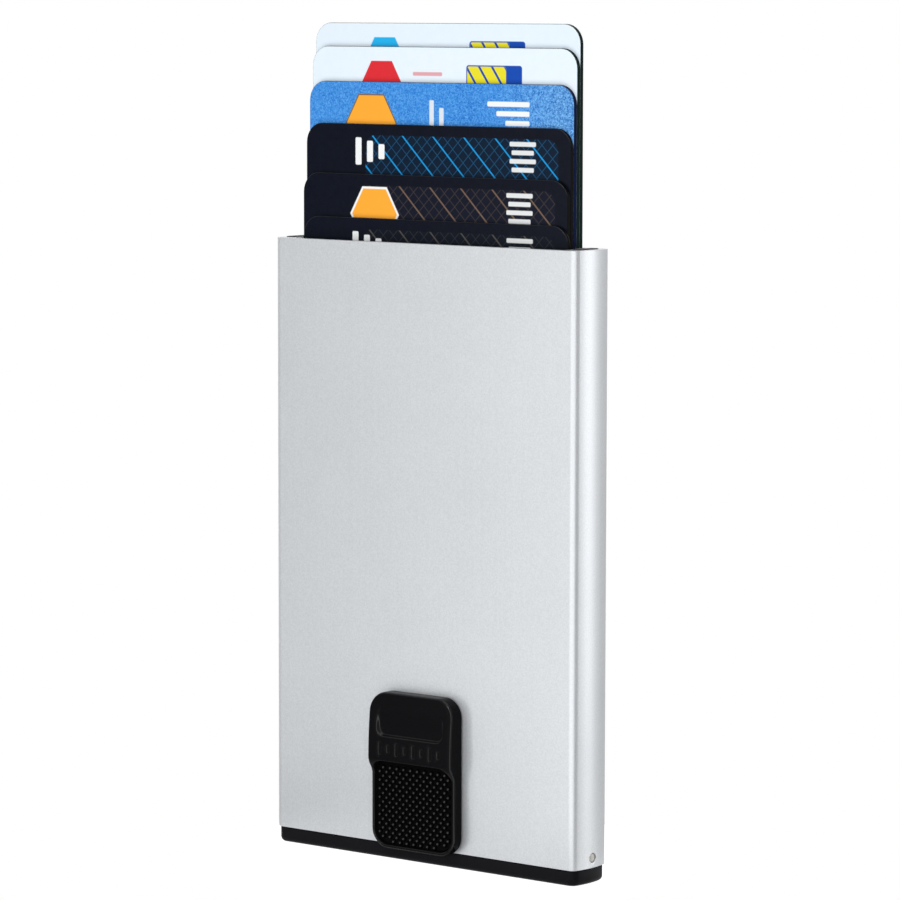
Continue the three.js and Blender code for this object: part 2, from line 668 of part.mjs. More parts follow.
class Helix extends THREE.Curve {
  getPoint(share) {
    const angle = 2 * Math.PI * SPRING_TURNS * share;
    const radius = (SPRING_DIAMETER - SPRING_WIRE) / 2;
    const run = SPRING_LENGTH - SPRING_WIRE;
    return new THREE.Vector3(
      springStartX() + SPRING_WIRE / 2 + run * share,
      springCentreY() + radius * Math.cos(angle),
      SPRING_Z + radius * Math.sin(angle));
  }
}

function returnSpring() {
  const points = [];
  for (let side = 0; side < SPRING_SIDES; side += 1) {
    const angle = 2 * Math.PI * side / SPRING_SIDES;
    points.push([SPRING_WIRE / 2 * Math.cos(angle), SPRING_WIRE / 2 * Math.sin(angle)]);
  }
  return new THREE.ExtrudeGeometry(polygon(points), {
    steps: SPRING_TURNS * SPRING_STEPS_PER_TURN, extrudePath: new Helix(),
  });
}

function card(index) {
  const left = (index === CARD_COUNT - 1 ? FRONT_CARD_SHIFT : CARD_SHIFT) - CARD_WIDTH / 2;
  const top = RIM_Z + CARD_STANDS[index];
  const shape = roundedRectangle(left, left + CARD_WIDTH, top - CARD_LENGTH, top, CARD_CORNER);
  const middle = layerY(index);
  return alongY(shape, middle - CARD_THICKNESS / 2, middle + CARD_THICKNESS / 2);
}

// Materials.
const ALUMINIUM = { color: 0xcfd0d2, roughness: 0.45, metalness: 0.9 };
const BLACK_PLASTIC = { color: 0x151516, roughness: 0.45, metalness: 0 };
const GLOSS_BLACK = { color: 0x0c0c0d, roughness: 0.25, metalness: 0 };
const STEEL = { color: 0xa6a8aa, roughness: 0.35, metalness: 1 };
const SILICONE = { color: 0x2b2b2c, roughness: 0.8, metalness: 0 };
const CARD_COLOURS = [0xe6ebea, 0xeef0ef, 0x27589a, 0x10141c, 0x11131a, 0x0d1016];
const CARD_FINISH = { roughness: 0.3, metalness: 0 };

function add(group, name, geometry, finish) {
  const mesh = new THREE.Mesh(geometry, new THREE.MeshStandardMaterial(finish));
  mesh.name = name;
  group.add(mesh);
}

function caseGroup() {
  const group = new THREE.Group();
  add(group, 'case_body', caseBody(), ALUMINIUM);
  add(group, 'bottom_cap', bottomCap(), BLACK_PLASTIC);
  add(group, 'side_pin_left', sidePin(-1), STEEL);
  add(group, 'side_pin_right', sidePin(1), STEEL);
  add(group, 'brake_strip_left', brakeStrip(-1), SILICONE);
  add(group, 'brake_strip_right', brakeStrip(1), SILICONE);
  add(group, 'pivot_pin', pivotPin(), STEEL);
  add(group, 'return_spring', returnSpring(), STEEL);
  return group;
}

function sliderGroup() {
  const group = new THREE.Group();
  add(group, 'slider_tab', sliderTab(), GLOSS_BLACK);
  add(group, 'grip_insert', gripInsert(), GLOSS_BLACK);
  add(group, 'slider_carriage', sliderCarriage(), BLACK_PLASTIC);
  screwHeights().forEach((z, index) => {
    add(group, `slider_screw_${index + 1}`, screwSolid(z, 0, 0), STEEL);
  });
  return group;
}

function leverGroup() {
  const group = new THREE.Group();
  add(group, 'lever_hub', leverHub(), STEEL);
  add(group, 'drive_arm', driveArm(), STEEL);
  for (let index = 0; index < CARD_COUNT; index += 1) {
    add(group, `lever_leaf_${index + 1}`, leverLeaf(index), STEEL);
  }
  return group;
}

function cardGroup() {
  const group = new THREE.Group();
  CARD_COLOURS.forEach((color, index) => {
    add(group, `card_${index + 1}`, card(index), { color, ...CARD_FINISH });
  });
  return group;
}

const cardCase = new THREE.Group();
cardCase.add(caseGroup(), sliderGroup(), leverGroup(), cardGroup());

export default cardCase;
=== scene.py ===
"""Looks of the sliding card case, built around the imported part.

Sizes are in millimetres, apart from the camera's distances and target, the floor and the lamps,
which are in metres. Azimuth 0 is in front of the case and 90 is on its right. Colours are linear.
"""

import math

import bmesh
import bpy
from mathutils import Matrix, Vector
from mathutils.geometry import delaunay_2d_cdt


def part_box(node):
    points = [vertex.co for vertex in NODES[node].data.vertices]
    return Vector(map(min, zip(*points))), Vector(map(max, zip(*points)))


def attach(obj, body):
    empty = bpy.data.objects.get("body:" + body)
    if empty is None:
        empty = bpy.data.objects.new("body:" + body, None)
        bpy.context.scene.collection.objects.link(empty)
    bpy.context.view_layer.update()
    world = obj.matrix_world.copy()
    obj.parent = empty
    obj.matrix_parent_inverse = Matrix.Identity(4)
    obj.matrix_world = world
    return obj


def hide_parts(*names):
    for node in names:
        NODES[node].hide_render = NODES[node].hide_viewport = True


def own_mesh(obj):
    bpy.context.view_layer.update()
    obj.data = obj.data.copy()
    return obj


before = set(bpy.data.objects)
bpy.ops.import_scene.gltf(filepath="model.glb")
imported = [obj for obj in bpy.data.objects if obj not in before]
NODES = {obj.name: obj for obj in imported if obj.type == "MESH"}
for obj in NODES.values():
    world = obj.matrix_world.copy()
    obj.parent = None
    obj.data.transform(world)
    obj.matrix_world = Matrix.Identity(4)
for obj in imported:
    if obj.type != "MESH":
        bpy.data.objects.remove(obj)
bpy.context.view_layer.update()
MM = 0.001


def hundredths(length):
    """A length of the frame, from metres to millimetres, to the nearest hundredth."""
    return round(length / MM, 2)


# Camera, fitted to the photograph.
CAMERA_AZIMUTH = 38.4543
CAMERA_ELEVATION = 5.9083
CAMERA_ROLL = 0.0999
CAMERA_DISTANCE = 0.7001
CAMERA_TARGET = (0.002325, 0.0, 0.067023)
CAMERA_LENS = 174.55
CAMERA_SENSOR = 36.0
CAMERA_NEAREST = 0.01

# White surroundings, darker towards the front. The share is what is left of them as diffuse light.
WORLD_DARK_AZIMUTH = 10.0
WORLD_FADE = (-0.45, 0.6)
WORLD_WHITE = 1.0
WORLD_DARK = 0.25
WORLD_LIGHT_SHARE = 0.06

# Round white table that the case stands on.
FLOOR_RADIUS = 0.042
FLOOR_DROP = 0.0001
FLOOR_SIDES = 96
FLOOR_PAPER = (0.6, 0.6, 0.6)
FLOOR_GLOW = 0.97

# Slider tab, from the box of the solid that it stands for.
TAB_LOWEST, TAB_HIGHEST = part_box("slider_tab")
TAB_WIDTH = hundredths(TAB_HIGHEST.x - TAB_LOWEST.x)
TAB_LOW = hundredths(TAB_LOWEST.z)
TAB_HEIGHT = hundredths(TAB_HIGHEST.z - TAB_LOWEST.z)
TAB_BACK = hundredths(TAB_HIGHEST.y)
TAB_CREST_FACE = hundredths(TAB_LOWEST.y)
TAB_CORNER = 3.2
TAB_TOP_FACE = TAB_CREST_FACE + 0.75
TAB_GRIP_FACE = TAB_CREST_FACE + 1.05
TAB_CREST_Z = TAB_LOW + 14.7
TAB_STEP = 2.6
TAB_EDGE = 0.4
TAB_EDGE_STEPS = 6
TAB_BACK_EDGE = 0.2
TAB_SIDE_LINE = 0.08
TAB_FRONT_SPACING = 0.55
TAB_BACK_SPACING = 2.0
TAB_FILL_GAP = 0.3

# Recess for the thumbnail in the tab's upper half. It gets shallower towards its top.
NAIL_WIDTH = 13.3
NAIL_LOW = TAB_LOW + 18.53
NAIL_HIGH = NAIL_LOW + 4.7
NAIL_CORNER = 1.3
NAIL_DEPTH = 0.6
NAIL_WALL = 0.25
NAIL_WALL_STEPS = 3
NAIL_FLOOR_HEIGHT = 0.8

# Pocket in the tab's lower half, which holds the grip pad.
POCKET_INSET = 0.55
POCKET_HALF = TAB_WIDTH / 2 - POCKET_INSET
POCKET_LOW = TAB_LOW + POCKET_INSET
POCKET_HIGH = POCKET_LOW + 13.8
POCKET_UPPER_CORNER = 2.2
POCKET_LOWER_CORNER = 2.6
POCKET_FLOOR = TAB_GRIP_FACE + 1.1
POCKET_WALL = 0.1
POCKET_RIM = 0.22
POCKET_RIM_LINES = (POCKET_RIM, 0.14, 0.07, 0.02, 0.0)

# Socket in the tab's back for the carriage's stem.
STEM_HALF = 2.95
STEM_LOW = TAB_LOW + 1.08
STEM_HIGH = STEM_LOW + 6.9
STEM_CORNER = 1.0
STEM_DEPTH = 0.35

# Row of grooves across the band between the recess and the pocket.
BAR_COUNT = 8
BAR_PITCH = 1.72
BAR_HALF_WIDTH = 0.3
BAR_CENTRE = TAB_LOW + 16.48
BAR_HALF_HEIGHTS = (1.1, 0.65)
BAR_CORNER = 0.25
BAR_DEPTH = 0.135
BAR_WALL = 0.1
BAR_LINE_STEP = 0.4

# Studs on the grip pad. The profile is shares of the radius and of the height.
STUD_PITCH = 1.41
STUD_RADIUS = 0.42
STUD_HEIGHT = 0.34
STUD_FIRST_ROW = 0.45
STUD_EDGE_GAP = 0.6
STUD_HALF_COLUMNS = 6
STUD_SIDES = 10
STUD_PROFILE = ((1.0, -0.1), (0.93, 0.3), (0.72, 0.68), (0.4, 0.92))

# Return spring.
SPRING_WIRE = 0.5
SPRING_TURNS = 8
SPRING_STEPS_PER_TURN = 24
SPRING_SIDES = 10

# Points this close together are made one.
OUTLINE_MERGE = 1e-5
MESH_MERGE = 1e-4

# Arcs of the outlines: the fewest steps in a corner, and steps for each millimetre of its radius.
ARC_FEWEST_STEPS = 4
ARC_STEPS = 4

# Broken edges of the CAD pieces, with angles in degrees.
WELD_DISTANCE = 0.002
FLAT_ANGLE = 0.5
BEVEL_ANGLE = 35.0
BEVEL_SEGMENTS = 2
NORMAL_WEIGHT = 60

# Card prints, from a card's lower left corner, seen from the front.
PRINT_SOFTNESS = 0.12
HEXAGON_SLANT = (0.866, 0.5)
CHIP_X = 38.0
CHIP_Z = 18.0
CHIP_HALF_WIDTH = 4.6
CHIP_HALF_HEIGHT = 5.8
CHIP_CORNER = 1.2
CHIP_ROW = 1.9
CHIP_HALF_GAP = 0.12
CHIP_GAP_CORNER = 0.05
CARD_MIDDLE = 42.8
STRIPE_FROM_RIGHT = 9.5
STRIPE_HALF_WIDTH = 6.3
STRIPE_HALF_HEIGHT = 60.0
SIGNING_X = 22.0
SIGNING_Z = 50.0
SIGNING_HALF_WIDTH = 4.8
SIGNING_HALF_HEIGHT = 28.0
SIGNING_CORNER = 0.4

WHITE = (0.86, 0.88, 0.88)
YELLOW = (0.80, 0.72, 0.03)
ROYAL = (0.01, 0.07, 0.42)
SKY = (0.02, 0.42, 0.80)
RED = (0.70, 0.03, 0.04)
ORANGE = (0.95, 0.40, 0.04)
BRONZE = (0.20, 0.12, 0.02)
GOLD = (0.74, 0.56, 0.24)
SIGNING_PAPER = (0.72, 0.72, 0.69)


class Paint:
    """A material whose nodes are written as sums of fields, with places in millimetres."""

    def __init__(self, name):
        self.material = bpy.data.materials.new(name)
        self.material.use_nodes = True
        self.tree = self.material.node_tree
        self.shader = self.tree.nodes["Principled BSDF"]
        self.place = self.scaled(self.node("TexCoord").outputs["Object"], (1 / MM, 1 / MM, 1 / MM))

    def node(self, kind, **settings):
        made = self.tree.nodes.new("ShaderNode" + kind)
        for name, value in settings.items():
            setattr(made, name, value)
        return made

    def feed(self, socket, value):
        if isinstance(value, bpy.types.NodeSocket):
            self.tree.links.new(value, socket)
        else:
            socket.default_value = value

    def set(self, **values):
        for name, value in values.items():
            self.feed(self.shader.inputs[name.replace("_", " ")], value)

    def scaled(self, vector, factors):
        made = self.node("VectorMath", operation="MULTIPLY")
        self.feed(made.inputs[0], vector)
        made.inputs[1].default_value = factors
        return made.outputs[0]

    def math(self, operation, *values, clamp=False):
        made = self.node("Math", operation=operation, use_clamp=clamp)
        for socket, value in zip(made.inputs, values):
            self.feed(socket, value)
        return made.outputs[0]

    def noise(self, size, stretch=(1, 1, 1), detail=2.0):
        made = self.node("TexNoise")
        self.feed(made.inputs["Vector"], self.scaled(self.place, stretch))
        made.inputs["Scale"].default_value = 1 / size
        made.inputs["Detail"].default_value = detail
        return made.outputs["Fac"]

    def flakes(self, size):
        made = self.node("TexVoronoi")
        self.feed(made.inputs["Vector"], self.place)
        made.inputs["Scale"].default_value = 1 / size
        parts = self.node("SeparateColor")
        self.feed(parts.inputs[0], made.outputs["Color"])
        return parts.outputs[0]

    def normal(self):
        parts = self.node("SeparateXYZ")
        self.feed(parts.inputs[0], self.node("TexCoord").outputs["Normal"])
        return parts.outputs

    def span(self, field, low, high):
        """Spreads the middle half of a noise over a range."""
        return self.ramp(field, (0.25, 0.75), low, high)

    def ramp(self, field, ends, low, high):
        made = self.node("MapRange")
        self.feed(made.inputs["Value"], field)
        made.inputs["From Min"].default_value = ends[0]
        made.inputs["From Max"].default_value = ends[1]
        made.inputs["To Min"].default_value = low
        made.inputs["To Max"].default_value = high
        return made.outputs["Result"]

    def mix(self, share, first, second):
        made = self.node("Mix", data_type="RGBA")
        for index, value in ((0, share), (6, first), (7, second)):
            is_colour = isinstance(value, tuple)
            self.feed(made.inputs[index], (*value, 1.0) if is_colour else value)
        return made.outputs[2]

    def bump(self, height, depth, strength=1.0):
        made = self.node("Bump")
        made.inputs["Strength"].default_value = strength
        made.inputs["Distance"].default_value = depth * MM
        self.feed(made.inputs["Height"], height)
        self.set(Normal=made.outputs["Normal"])

    def rub(self, gloss, edge_gloss, steep, flat, upward=None):
        """Sets the gloss, and the edges' gloss on faces that lean between steep and flat.

        Steep and flat are shares of facing forward, each with its own fade. Where upward is given,
        faces take the edges' gloss as they turn from its first to its second share of facing up.
        """
        normal = self.normal()
        facing = self.math("ABSOLUTE", normal[1])
        share = self.math("MULTIPLY", self.ramp(facing, steep, 0.0, 1.0), self.ramp(facing, flat, 1.0, 0.0))
        if upward:
            share = self.math("MULTIPLY", share, self.ramp(normal[2], upward, 0.0, 1.0))
        self.set(Specular_IOR_Level=self.math("MULTIPLY_ADD", share, edge_gloss - gloss, gloss))


def anodised_aluminium():
    paint = Paint("anodised_aluminium")
    grain = paint.noise(0.24, detail=3.0)
    drawn = paint.noise(0.5, stretch=(1, 1, 0.004))
    cloud = paint.noise(14.0)
    shade = paint.math("ADD", paint.span(grain, 0.0, 1.0), paint.span(drawn, -0.05, 0.05))
    shade = paint.math("ADD", shade, paint.span(cloud, -0.1, 0.1))
    paint.set(Base_Color=paint.mix(shade, (0.555, 0.575, 0.595), (0.655, 0.675, 0.695)))
    paint.set(Metallic=0.42, Roughness=paint.span(grain, 0.33, 0.39), Specular_IOR_Level=0.1)
    paint.bump(grain, 0.006, 0.5)
    return paint.material


def black_plastic(name, dark, pale, grain_size, rough, gloss, depth):
    """Gloss is one level, or the values that Paint.rub takes."""
    paint = Paint(name)
    grain = paint.noise(grain_size, detail=3.0)
    cloud = paint.noise(6.0)
    paint.set(Base_Color=paint.mix(cloud, dark, pale))
    paint.set(Roughness=paint.span(grain, *rough))
    if isinstance(gloss, dict):
        paint.rub(**gloss)
    else:
        paint.set(Specular_IOR_Level=gloss)
    paint.bump(grain, depth)
    return paint.material


def steel(name, dark, pale, rough):
    paint = Paint(name)
    brushed = paint.noise(0.12, stretch=(0.05, 1, 1), detail=3.0)
    cloud = paint.noise(0.9)
    paint.set(Base_Color=paint.mix(paint.span(cloud, 0.0, 1.0), dark, pale))
    paint.set(Metallic=1.0, Roughness=paint.span(brushed, *rough))
    paint.bump(brushed, 0.004)
    return paint.material


def silicone():
    paint = Paint("silicone")
    grain = paint.noise(0.2, detail=4.0)
    dust = paint.noise(1.2)
    paint.set(Base_Color=paint.mix(paint.span(dust, 0.0, 0.5), (0.022, 0.022, 0.023), (0.06, 0.06, 0.06)))
    paint.set(Roughness=paint.span(grain, 0.7, 0.9))
    paint.bump(grain, 0.02)
    return paint.material


class CardPrint(Paint):
    """A card's material. Shapes are distances outside an outline, laid on the ground one after another."""

    def __init__(self, name, edge):
        super().__init__(name)
        self.edge = edge
        low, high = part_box(name)
        parts = self.node("SeparateXYZ")
        self.feed(parts.inputs[0], self.place)
        self.x = self.math("SUBTRACT", parts.outputs[0], low.x / MM)
        self.z = self.math("SUBTRACT", parts.outputs[2], low.z / MM)
        self.top = (high.z - low.z) / MM
        self.wide = (high.x - low.x) / MM

    def ground(self, colour):
        self.colour = colour

    def inside(self, distance):
        return self.math("MULTIPLY_ADD", distance, -1 / PRINT_SOFTNESS, 0.5, clamp=True)

    def away(self, x, z):
        """Distances from a place, across and along the card."""
        across = self.math("ABSOLUTE", self.math("SUBTRACT", self.x, x))
        along = self.math("ABSOLUTE", self.math("SUBTRACT", self.z, z))
        return across, along

    def box(self, x, z, half_width, half_height, corner=0.3):
        """Distance outside a rounded box about a place."""
        across, along = self.away(x, z)
        over_x = self.math("MAXIMUM", self.math("SUBTRACT", across, half_width - corner), 0.0)
        over_z = self.math("MAXIMUM", self.math("SUBTRACT", along, half_height - corner), 0.0)
        squares = [self.math("MULTIPLY", over, over) for over in (over_x, over_z)]
        return self.math("SUBTRACT", self.math("SQRT", self.math("ADD", *squares)), corner)

    def hexagon(self, x, z, radius):
        """Distance outside a hexagon about a place, with a flat side at its top."""
        away = self.away(x, z)
        along = away[1]
        slant = self.math("ADD", *[self.math("MULTIPLY", *pair) for pair in zip(away, HEXAGON_SLANT)])
        return self.math("SUBTRACT", self.math("MAXIMUM", slant, along), radius)

    def lines(self, slope, pitch, width):
        """Distance outside the nearest of many slanting lines, measured across the card."""
        slid = self.math("MULTIPLY_ADD", self.z, slope, self.x)
        turned = self.math("FRACT", self.math("DIVIDE", slid, pitch))
        away = self.math("ABSOLUTE", self.math("SUBTRACT", turned, 0.5))
        return self.math("MULTIPLY_ADD", away, pitch, -width / 2)

    def both(self, first, second):
        return self.math("MAXIMUM", first, second)

    def either(self, first, second):
        return self.math("MINIMUM", first, second)

    def lay(self, distance, colour, strength=1.0):
        share = self.inside(distance)
        if strength < 1.0:
            share = self.math("MULTIPLY", share, strength)
        self.colour = self.mix(share, self.colour, colour)

    def chip(self):
        """Contact plate with its six fields, at the end that stays in the case."""
        plate = self.inside(self.box(CHIP_X, CHIP_Z, CHIP_HALF_WIDTH, CHIP_HALF_HEIGHT, CHIP_CORNER))
        gaps = self.box(CHIP_X, CHIP_Z, CHIP_HALF_GAP, CHIP_HALF_HEIGHT, CHIP_GAP_CORNER)
        for row in (CHIP_Z - CHIP_ROW, CHIP_Z + CHIP_ROW):
            gaps = self.either(gaps, self.box(CHIP_X, row, CHIP_HALF_WIDTH, CHIP_HALF_GAP, CHIP_GAP_CORNER))
        self.gold = self.math("MULTIPLY", plate, self.math("SUBTRACT", 1.0, self.inside(gaps)))
        self.colour = self.mix(self.gold, self.colour, GOLD)

    def behind(self, back, stripe):
        """Rear face with its magnetic stripe and signing panel."""
        stripe_x = self.wide - STRIPE_FROM_RIGHT
        stripe_box = self.box(stripe_x, CARD_MIDDLE, STRIPE_HALF_WIDTH, STRIPE_HALF_HEIGHT)
        signing_box = self.box(
            SIGNING_X, SIGNING_Z, SIGNING_HALF_WIDTH, SIGNING_HALF_HEIGHT, SIGNING_CORNER)
        colour = self.mix(self.inside(stripe_box), back, stripe)
        return self.mix(self.inside(signing_box), colour, SIGNING_PAPER)

    def finish(self, back, stripe):
        """Adds the rear face and the cut edge, and a laminate that shines on the rounded edges."""
        normal = self.normal()
        facing = self.math("ABSOLUTE", normal[1])
        rear = self.math("GREATER_THAN", normal[1], 0.5)
        rim = self.math("LESS_THAN", facing, 0.95)
        cut = self.math("LESS_THAN", facing, 0.3)
        face = self.mix(rear, self.colour, self.behind(back, stripe))
        pale_edge = tuple(1.6 * level + 0.0012 for level in self.edge)
        worn = self.mix(self.span(self.noise(0.9), 0.0, 0.35), self.edge, pale_edge)
        self.set(Base_Color=self.mix(rim, face, worn))
        grain = self.noise(0.35, detail=3.0)
        self.set(Roughness=self.math("MULTIPLY_ADD", cut, 0.4, self.span(grain, 0.26, 0.36)))
        front = self.math("SUBTRACT", 1.0, self.math("MAXIMUM", rear, rim))
        self.set(Metallic=self.math("MULTIPLY", self.gold, front))
        self.rub(gloss=0.06, edge_gloss=0.6, steep=(0.1, 0.3), flat=(0.9, 0.98), upward=(0.1, 0.5))
        self.bump(grain, 0.003)
        return self.material


def pale_card(name, tint, edge, accent):
    art = CardPrint(name, edge)
    scuff = art.noise(1.7, detail=4.0)
    art.ground(art.mix(art.span(scuff, 0.0, 1.0), tint, tuple(0.975 * level for level in tint)))
    flag_z = art.top - 5.2
    flag = art.box(36.0, flag_z, 3.9, 2.2, 0.4)
    art.lay(art.box(37.5, flag_z, 5.6, 2.4, 0.5), ROYAL)
    art.lay(flag, YELLOW)
    art.lay(art.both(flag, art.lines(0.7, 2.6, 0.5)), ROYAL)
    art.lay(art.hexagon(14.5, art.top - 6.0, 3.7), accent)
    art.lay(art.box(24.0, art.top - 4.3, 3.0, 0.3, 0.2), accent, 0.6)
    art.lay(art.box(27.0, 40.0, 20.0, 9.0, 1.5), accent, 0.15)
    art.chip()
    return art.finish((0.80, 0.82, 0.82), (0.02, 0.02, 0.022))


def blue_card(name):
    art = CardPrint(name, (0.002, 0.008, 0.045))
    flake = art.flakes(0.2)
    fine = art.noise(0.3, detail=3.0)
    drift = art.noise(18.0)
    # The glitter's flakes keep their own light and deep blues. Towards the right they are painted brighter
    # and darker: painted glints of the glitter.
    painted_glint = art.ramp(art.x, (38.0, 52.0), 0.1, 0.8)
    deep = art.mix(art.span(drift, 0.0, 1.0), (0.018, 0.15, 0.55), (0.034, 0.23, 0.70))
    deep = art.mix(painted_glint, deep, (0.012, 0.11, 0.40))
    bright = art.mix(art.span(fine, 0.0, 1.0), (0.03, 0.24, 0.70), (0.13, 0.43, 0.88))
    bright = art.mix(painted_glint, bright, (0.24, 0.55, 0.92))
    art.ground(art.mix(flake, deep, bright))
    emblem_z = art.top - 6.6
    art.lay(art.hexagon(13.0, emblem_z, 4.6), BRONZE)
    art.lay(art.hexagon(13.0, emblem_z, 4.4), ORANGE)
    for step in range(3):
        art.lay(art.box(41.0 + 0.9 * step, art.top - 3.2 - 1.5 * step, 4.2 - 0.9 * step, 0.4, 0.25), WHITE)
    art.lay(art.box(25.5, art.top - 5.0, 0.45, 2.2, 0.2), WHITE, 0.8)
    art.lay(art.box(27.5, art.top - 5.6, 0.45, 1.6, 0.2), WHITE, 0.8)
    art.chip()
    return art.finish((0.05, 0.14, 0.36), (0.01, 0.01, 0.012))


def dark_card(name, wash, line, strength, ribbon, has_emblem):
    """Near black, with a washed panel of thin crossed lines and wider ribbons."""
    art = CardPrint(name, (0.0012, 0.0013, 0.002))
    scuff = art.noise(1.1, detail=4.0)
    art.ground(art.mix(art.span(scuff, 0.0, 1.0), (0.0032, 0.0048, 0.0105), (0.005, 0.0068, 0.014)))
    panel = art.box(32.0, CARD_MIDDLE, 19.5, 41.0, 2.0)
    art.lay(panel, wash)
    net = art.either(art.lines(1.0, 2.1, 0.16), art.lines(-1.0, 2.1, 0.16))
    art.lay(art.both(net, panel), line, strength)
    art.lay(art.both(art.lines(1.0, 6.3, 0.36), panel), ribbon, min(1.0, 2.2 * strength))
    if has_emblem:
        emblem_z = art.top - 6.4
        art.lay(art.hexagon(15.0, emblem_z, 4.4), WHITE)
        art.lay(art.hexagon(15.0, emblem_z, 4.05), ORANGE)
    else:
        for step in range(3):
            art.lay(art.box(11.0 + 2.4 * step, art.top - 4.4, 0.62, 2.2 - 0.5 * step, 0.25), WHITE)
    for step in range(4):
        half_width = 2.6 - 0.4 * (step % 2)
        art.lay(art.box(44.5, art.top - 2.6 - 1.35 * step, half_width, 0.36, 0.2), WHITE, 0.85)
    art.chip()
    return art.finish((0.012, 0.013, 0.018), (0.004, 0.004, 0.004))


# Outlines on the tab's face: half width, lower and upper edge, lower and upper corner radius.
TAB_OUTLINE = (TAB_WIDTH / 2, TAB_LOW, TAB_LOW + TAB_HEIGHT, TAB_CORNER, TAB_CORNER)
NAIL_OUTLINE = (NAIL_WIDTH / 2, NAIL_LOW, NAIL_HIGH, NAIL_CORNER, NAIL_CORNER)
POCKET_OUTLINE = (POCKET_HALF, POCKET_LOW, POCKET_HIGH, POCKET_LOWER_CORNER, POCKET_UPPER_CORNER)
STEM_OUTLINE = (STEM_HALF, STEM_LOW, STEM_HIGH, STEM_CORNER, STEM_CORNER)


def rounded_distance(x, z, half_width, low, high, low_corner, high_corner):
    """How far a point lies outside an outline, and below zero inside it."""
    middle = (low + high) / 2
    corner = low_corner if z < middle else high_corner
    over_x = abs(x) - (half_width - corner)
    over_z = abs(z - middle) - ((high - low) / 2 - corner)
    outside = math.hypot(max(over_x, 0.0), max(over_z, 0.0))
    return outside + min(max(over_x, over_z), 0.0) - corner


def corner_arc(x, z, radius, start, count):
    """Points round a corner of an outline, from a starting angle through a quarter turn."""
    centre_x = x - math.copysign(radius, x)
    centre_z = z + radius if start in (-90, 180) else z - radius
    turns = [math.radians(start + 90 * k / count) for k in range(count + 1)]
    return [(centre_x + radius * math.cos(turn), centre_z + radius * math.sin(turn)) for turn in turns]


def rounded_loop(half_width, low, high, low_corner, high_corner, grown=0.0, step=0.6):
    """Points along an outline that is grown outwards by a distance."""
    arcs = []
    for side, edge, corner, start in (
            (1, low - grown, low_corner, -90), (1, high + grown, high_corner, 0),
            (-1, high + grown, high_corner, 90), (-1, low - grown, low_corner, 180)):
        count = max(ARC_FEWEST_STEPS, round(corner * ARC_STEPS))
        arcs.append(corner_arc(side * (half_width + grown), edge, corner + grown, start, count))
    points = []
    for arc, following in zip(arcs, arcs[1:] + arcs[:1]):
        last, first = arc[-1], following[0]
        count = max(1, round(math.dist(last, first) / step))
        points.extend(arc)
        points.extend(
            (last[0] + (first[0] - last[0]) * k / count, last[1] + (first[1] - last[1]) * k / count)
            for k in range(1, count))
    return points


def smooth_step(value):
    held = min(max(value, 0.0), 1.0)
    return held * held * (3 - 2 * held)


def round_drop(depth_in, radius):
    """How far a rounded edge has fallen, at a distance in from it."""
    if depth_in >= radius:
        return 0.0
    left = radius - max(depth_in, 0.0)
    return radius - math.sqrt(max(radius * radius - left * left, 0.0))


def tab_face(z):
    """The front face's Y at a height: the crest, its slope up to the top, and the step down to the grip."""
    if z >= TAB_CREST_Z:
        rise = (z - TAB_CREST_Z) / (TAB_LOW + TAB_HEIGHT - TAB_CREST_Z)
        return TAB_CREST_FACE + (TAB_TOP_FACE - TAB_CREST_FACE) * rise * rise
    return TAB_CREST_FACE + (TAB_GRIP_FACE - TAB_CREST_FACE) * smooth_step((TAB_CREST_Z - z) / TAB_STEP)


def bars():
    """The middle of each groove in the tab's band, and its outline about that."""
    for index in range(BAR_COUNT):
        half = BAR_HALF_HEIGHTS[index % len(BAR_HALF_HEIGHTS)]
        outline = (BAR_HALF_WIDTH, BAR_CENTRE - half, BAR_CENTRE + half, BAR_CORNER, BAR_CORNER)
        yield BAR_PITCH * (index - (BAR_COUNT - 1) / 2), outline


def tab_front(x, z):
    y = tab_face(z)
    for centre, outline in bars():
        y += BAR_DEPTH * smooth_step(0.5 - rounded_distance(x - centre, z, *outline) / (2 * BAR_WALL))
    nail = rounded_distance(x, z, *NAIL_OUTLINE)
    above_floor = (z - NAIL_LOW - NAIL_FLOOR_HEIGHT) / (NAIL_HIGH - NAIL_LOW - NAIL_FLOOR_HEIGHT)
    y += NAIL_DEPTH * (1 - smooth_step(above_floor)) * smooth_step(0.5 - nail / (2 * NAIL_WALL))
    pocket = rounded_distance(x, z, *POCKET_OUTLINE)
    if pocket <= 0:
        wall = smooth_step(-pocket / POCKET_WALL)
        y = (y + POCKET_RIM) * (1 - wall) + POCKET_FLOOR * wall
    else:
        y += round_drop(pocket, POCKET_RIM)
    return y + round_drop(-rounded_distance(x, z, *TAB_OUTLINE), TAB_EDGE)


def tab_back(x, z):
    stem = rounded_distance(x, z, *STEM_OUTLINE)
    return TAB_BACK - STEM_DEPTH * smooth_step(-stem / POCKET_WALL)


